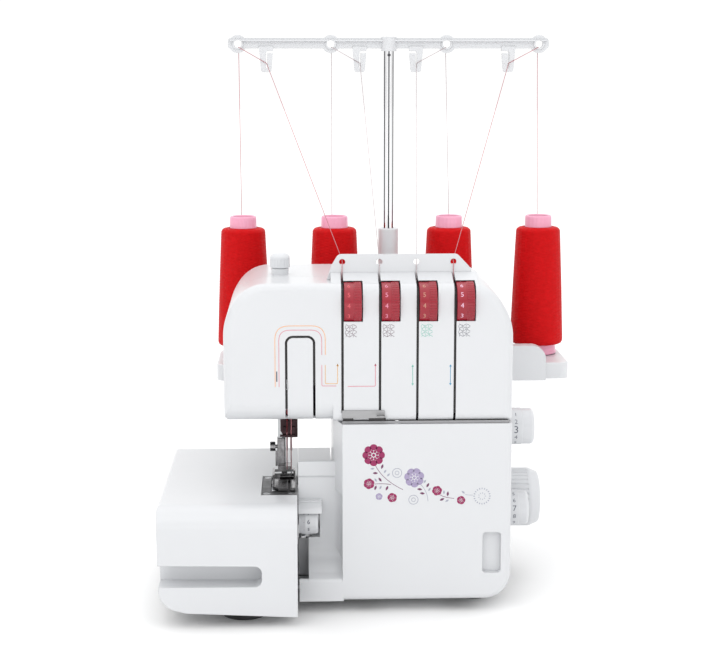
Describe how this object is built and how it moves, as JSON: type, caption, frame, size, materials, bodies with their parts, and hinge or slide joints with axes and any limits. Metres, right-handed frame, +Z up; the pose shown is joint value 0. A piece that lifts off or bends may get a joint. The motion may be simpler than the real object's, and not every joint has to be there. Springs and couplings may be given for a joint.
{
  "type": "serger overlock machine",
  "caption": "Free-arm overlock sewing machine with thread cones on a rear stand, a telescopic thread guide, edge-set tension dials and a hinged looper cover.",
  "frame": {"origin": "on the table, under the middle of the whole machine with its thread stand", "axes": "+X to the operator's right, towards the handwheel; +Y away from the operator, towards the thread stand; +Z up"},
  "size_m": [0.3679, 0.276, 0.4842],
  "materials": {
    "casing_plastic": "gloss",
    "dial_white": "gloss",
    "dial_red": "gloss",
    "black_plastic": "satin",
    "rubber": "matte",
    "base_steel": "satin",
    "frame_alloy": "cast",
    "bright_steel": "polished",
    "dark_steel": "satin",
    "bronze": "satin",
    "motor_shell": "satin",
    "lens": "satin",
    "chrome_tube": "polished",
    "cone_thread": "sheen",
    "spool_thread": "sheen"
  },
  "bodies": {
    "root": {"column_housing": "casing_plastic", "head_front_housing": "casing_plastic", "head_rear_housing": "casing_plastic", "needle_thread_panel": "casing_plastic", "bed_deck": "casing_plastic", "free_arm_casing": "casing_plastic", "thread_guide_plate": "casing_plastic", "spool_stand": "casing_plastic", "tree_sleeve": "casing_plastic", "inlet_and_switch_frame": "black_plastic", "spool_pins": "black_plastic", "rubber_feet": "rubber", "drive_belt": "rubber", "base_plate": "base_steel", "tension_assembly": "base_steel", "main_frame": "frame_alloy", "lower_knife": "bright_steel", "presser_spring": "bright_steel", "lower_thread_guide": "bright_steel", "needle_plate_screws": "bright_steel", "casing_screws": "bright_steel", "needle_plate": "dark_steel", "bearing_bushes": "bronze", "motor": "motor_shell", "lamp": "lens", "spool_threads": "spool_thread"},
    "arm_cover": {"free_arm_cover": "casing_plastic"},
    "cover_hinge": {"cover_hinge_bar": "bright_steel"},
    "looper_cover": {"front_cover": "casing_plastic"},
    "width_dial": {"stitch_width_dial": "dial_white"},
    "length_dial": {"stitch_length_dial": "dial_white"},
    "feed_ratio_dial": {"differential_dial": "dial_white"},
    "main_drive": {"handwheel": "dial_white", "main_shaft": "bright_steel", "main_pulley": "black_plastic"},
    "motor_drive": {"motor_rotor": "motor_shell"},
    "pressure_screw": {"pressure_knob": "dial_white"},
    "needle_drive": {"needle_bar": "bright_steel", "needle_clamp": "dark_steel", "needles": "bright_steel"},
    "presser": {"presser_bar": "bright_steel", "foot_shank": "bright_steel"},
    "foot": {"presser_foot": "bright_steel"},
    "lifter": {"lifter_lever": "bright_steel"},
    "looper_low": {"lower_looper": "bright_steel"},
    "looper_up": {"upper_looper": "bright_steel"},
    "knife": {"upper_knife": "bright_steel"},
    "feed_main": {"main_feed_dog": "bright_steel"},
    "feed_differential": {"differential_feed_dog": "bright_steel"},
    "rocker": {"switch_rocker": "black_plastic"},
    "thread_tree": {"tree_pole": "chrome_tube", "guide_bar": "casing_plastic"},
    "tension_1": {"tension_dial_1": "dial_red"},
    "cone_1": {"thread_cone_1": "cone_thread"},
    "tension_2": {"tension_dial_2": "dial_red"},
    "cone_2": {"thread_cone_2": "cone_thread"},
    "tension_3": {"tension_dial_3": "dial_red"},
    "cone_3": {"thread_cone_3": "cone_thread"},
    "tension_4": {"tension_dial_4": "dial_red"},
    "cone_4": {"thread_cone_4": "cone_thread"}
  },
  "joints": [
    {"name": "free_arm_cover_slide", "type": "slide", "parent": "root", "child": "arm_cover", "axis": [-1, 0, 0], "range_m": [0, 0.15]},
    {"name": "front_cover_unlock", "type": "slide", "parent": "root", "child": "cover_hinge", "axis": [1, 0, 0], "range_m": [0, 0.008]},
    {"name": "front_cover_hinge", "type": "hinge", "parent": "cover_hinge", "child": "looper_cover", "pos_m": [0, -0.092, 0.018], "axis": [1, 0, 0], "range_deg": [0, 80]},
    {"name": "stitch_width_turn", "type": "hinge", "parent": "root", "child": "width_dial", "pos_m": [-0.06, -0.088, 0.077], "axis": [1, 0, 0], "range_deg": [-120, 120]},
    {"name": "stitch_length_turn", "type": "hinge", "parent": "root", "child": "length_dial", "pos_m": [0.12, -0.05, 0.1485], "axis": [1, 0, 0], "range_deg": [-140, 140]},
    {"name": "differential_turn", "type": "hinge", "parent": "root", "child": "feed_ratio_dial", "pos_m": [0.12, -0.052, 0.076], "axis": [1, 0, 0], "range_deg": [-100, 100]},
    {"name": "handwheel_turn", "type": "hinge", "parent": "root", "child": "main_drive", "pos_m": [0, 0, 0.0715], "axis": [1, 0, 0], "continuous": true},
    {"name": "motor_turn", "type": "hinge", "parent": "root", "child": "motor_drive", "pos_m": [0.08, 0.002, 0.132], "axis": [1, 0, 0], "continuous": true},
    {"name": "pressure_turn", "type": "hinge", "parent": "root", "child": "pressure_screw", "pos_m": [-0.0825, -0.039, 0.29], "axis": [0, 0, 1], "range_deg": [-180, 180]},
    {"name": "needle_stroke", "type": "slide", "parent": "root", "child": "needle_drive", "axis": [0, 0, 1], "range_m": [-0.027, 0]},
    {"name": "lifter_turn", "type": "hinge", "parent": "root", "child": "lifter", "pos_m": [-0.103, 0.0445, 0.206], "axis": [1, 0, 0], "range_deg": [0, 28]},
    {"name": "presser_lift", "type": "slide", "parent": "root", "child": "presser", "axis": [0, 0, 1], "range_m": [0, 0.006], "deforming": ["presser_spring"]},
    {"name": "foot_pivot", "type": "hinge", "parent": "presser", "child": "foot", "pos_m": [-0.08, -0.0375, 0.1074], "axis": [1, 0, 0], "range_deg": [-12, 0]},
    {"name": "lower_looper_swing", "type": "hinge", "parent": "root", "child": "looper_low", "pos_m": [-0.04, -0.06, 0.032], "axis": [0, 1, 0], "range_deg": [-10, 10]},
    {"name": "upper_looper_swing", "type": "hinge", "parent": "root", "child": "looper_up", "pos_m": [-0.026, -0.055, 0.052], "axis": [0, 1, 0], "range_deg": [-10, 10]},
    {"name": "knife_stroke", "type": "slide", "parent": "root", "child": "knife", "axis": [0, 0, 1], "range_m": [-0.009, 0]},
    {"name": "main_feed_stroke", "type": "slide", "parent": "root", "child": "feed_main", "axis": [0, 1, 0], "range_m": [-0.0015, 0.0015]},
    {"name": "differential_feed_stroke", "type": "slide", "parent": "root", "child": "feed_differential", "axis": [0, 1, 0], "range_m": [-0.0015, 0.0015]},
    {"name": "power_switch_rock", "type": "hinge", "parent": "root", "child": "rocker", "pos_m": [0.106, 0.0165, 0.03], "axis": [0, 0, 1], "range_deg": [0, 12]},
    {"name": "thread_tree_slide", "type": "slide", "parent": "root", "child": "thread_tree", "axis": [0, 0, 1], "range_m": [-0.105, 0], "deforming": ["spool_threads"]},
    {"name": "tension_turn_1", "type": "hinge", "parent": "root", "child": "tension_1", "pos_m": [-0.0227, -0.09, 0.263], "axis": [1, 0, 0], "range_deg": [-120, 150]},
    {"name": "tension_turn_2", "type": "hinge", "parent": "root", "child": "tension_2", "pos_m": [0.0083, -0.09, 0.263], "axis": [1, 0, 0], "range_deg": [-120, 150]},
    {"name": "tension_turn_3", "type": "hinge", "parent": "root", "child": "tension_3", "pos_m": [0.0393, -0.09, 0.263], "axis": [1, 0, 0], "range_deg": [-120, 150]},
    {"name": "tension_turn_4", "type": "hinge", "parent": "root", "child": "tension_4", "pos_m": [0.0703, -0.09, 0.263], "axis": [1, 0, 0], "range_deg": [-120, 150]},
    {"name": "cone_spin_1", "type": "hinge", "parent": "root", "child": "cone_1", "pos_m": [-0.1185, 0.098, 0.24], "axis": [0, 0, 1], "continuous": true},
    {"name": "cone_spin_2", "type": "hinge", "parent": "root", "child": "cone_2", "pos_m": [-0.033, 0.098, 0.24], "axis": [0, 0, 1], "continuous": true},
    {"name": "cone_spin_3", "type": "hinge", "parent": "root", "child": "cone_3", "pos_m": [0.0745, 0.098, 0.24], "axis": [0, 0, 1], "continuous": true},
    {"name": "cone_spin_4", "type": "hinge", "parent": "root", "child": "cone_4", "pos_m": [0.159, 0.098, 0.24], "axis": [0, 0, 1], "continuous": true}
  ],
  "couplings": [
    {"joint": "motor_turn", "follows": "handwheel_turn", "ratio": 3.1429},
    {"joint": "presser_lift", "follows": "lifter_turn", "m_per_rad": 0.012278}
  ]
}
